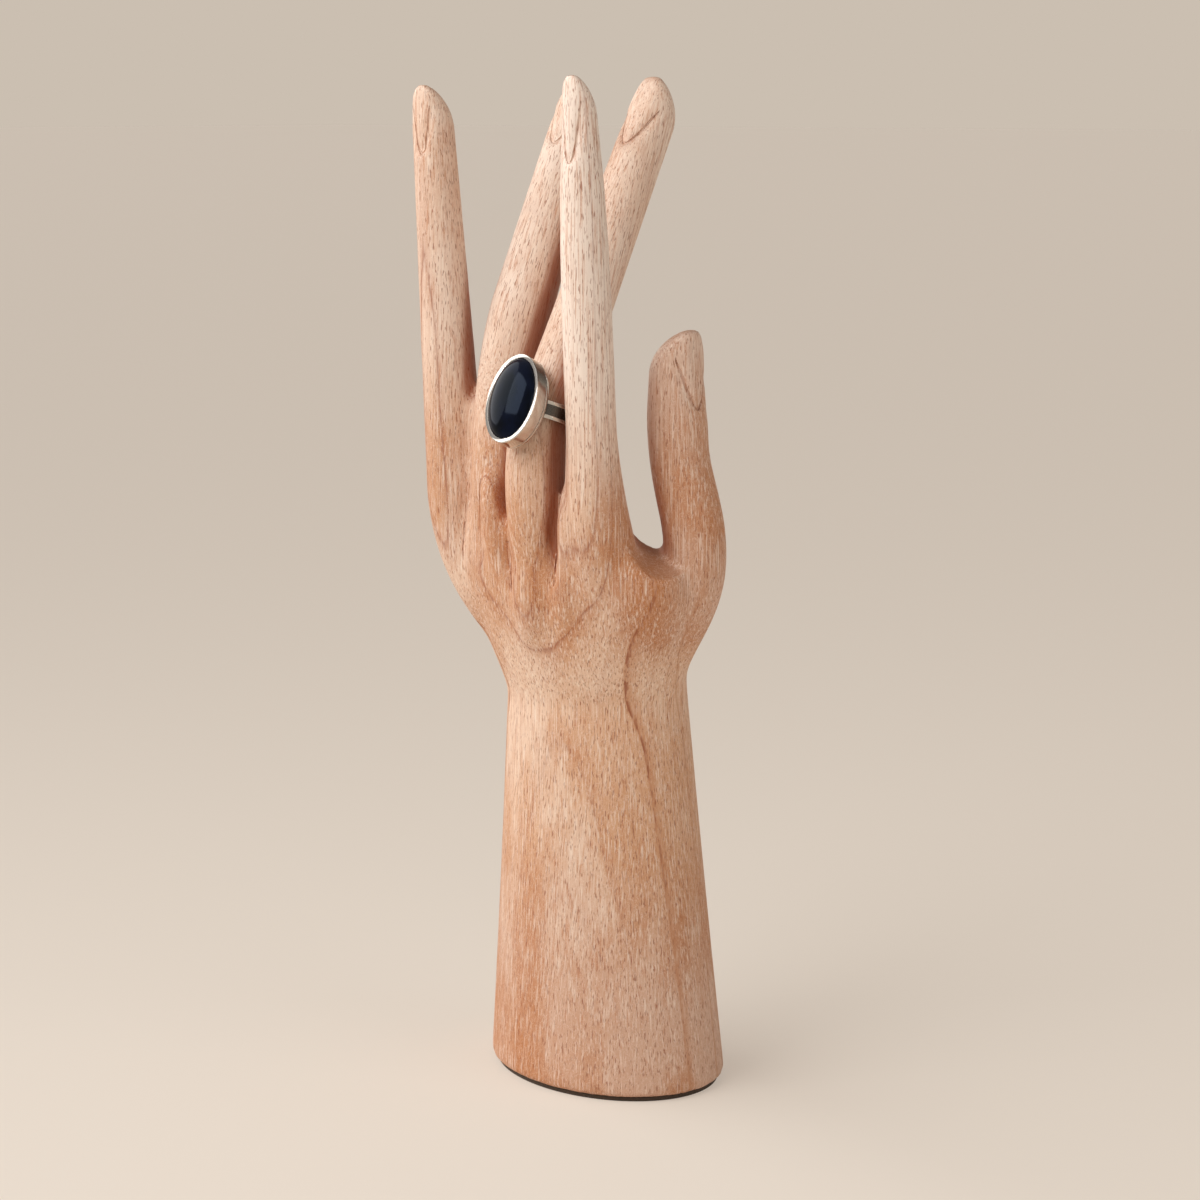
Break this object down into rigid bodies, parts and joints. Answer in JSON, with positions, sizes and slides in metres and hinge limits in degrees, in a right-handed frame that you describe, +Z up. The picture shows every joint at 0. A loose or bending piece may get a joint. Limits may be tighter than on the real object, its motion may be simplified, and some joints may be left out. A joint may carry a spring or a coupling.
{
  "type": "display hand",
  "caption": "Carved wooden hand that stands on its forearm, fingers apart for showing jewellery, with a silver ring set with a dark oval cabochon that slides off the middle finger.",
  "frame": {"origin": "centre of the oval foot, on the surface that the hand stands on", "axes": "+Z up along the forearm; the back of the hand faces -Y, the palm +Y and the thumb is on the +X side"},
  "size_m": [0.101, 0.079, 0.3082],
  "materials": {
    "wood": "sanded, dry and unvarnished",
    "felt": "matte felt",
    "silver": "polished silver",
    "stone": "polished dome"
  },
  "bodies": {
    "hand": {"carved_hand": "wood", "base_felt": "felt"},
    "ring": {"ring_shank": "silver", "bezel_plate": "silver", "bezel_wall": "silver", "cabochon": "stone"}
  },
  "joints": [
    {"name": "ring_slide", "type": "slide", "parent": "hand", "child": "ring", "axis": [0, 0.4955, 0.8686], "range_m": [0, 0.145]}
  ]
}
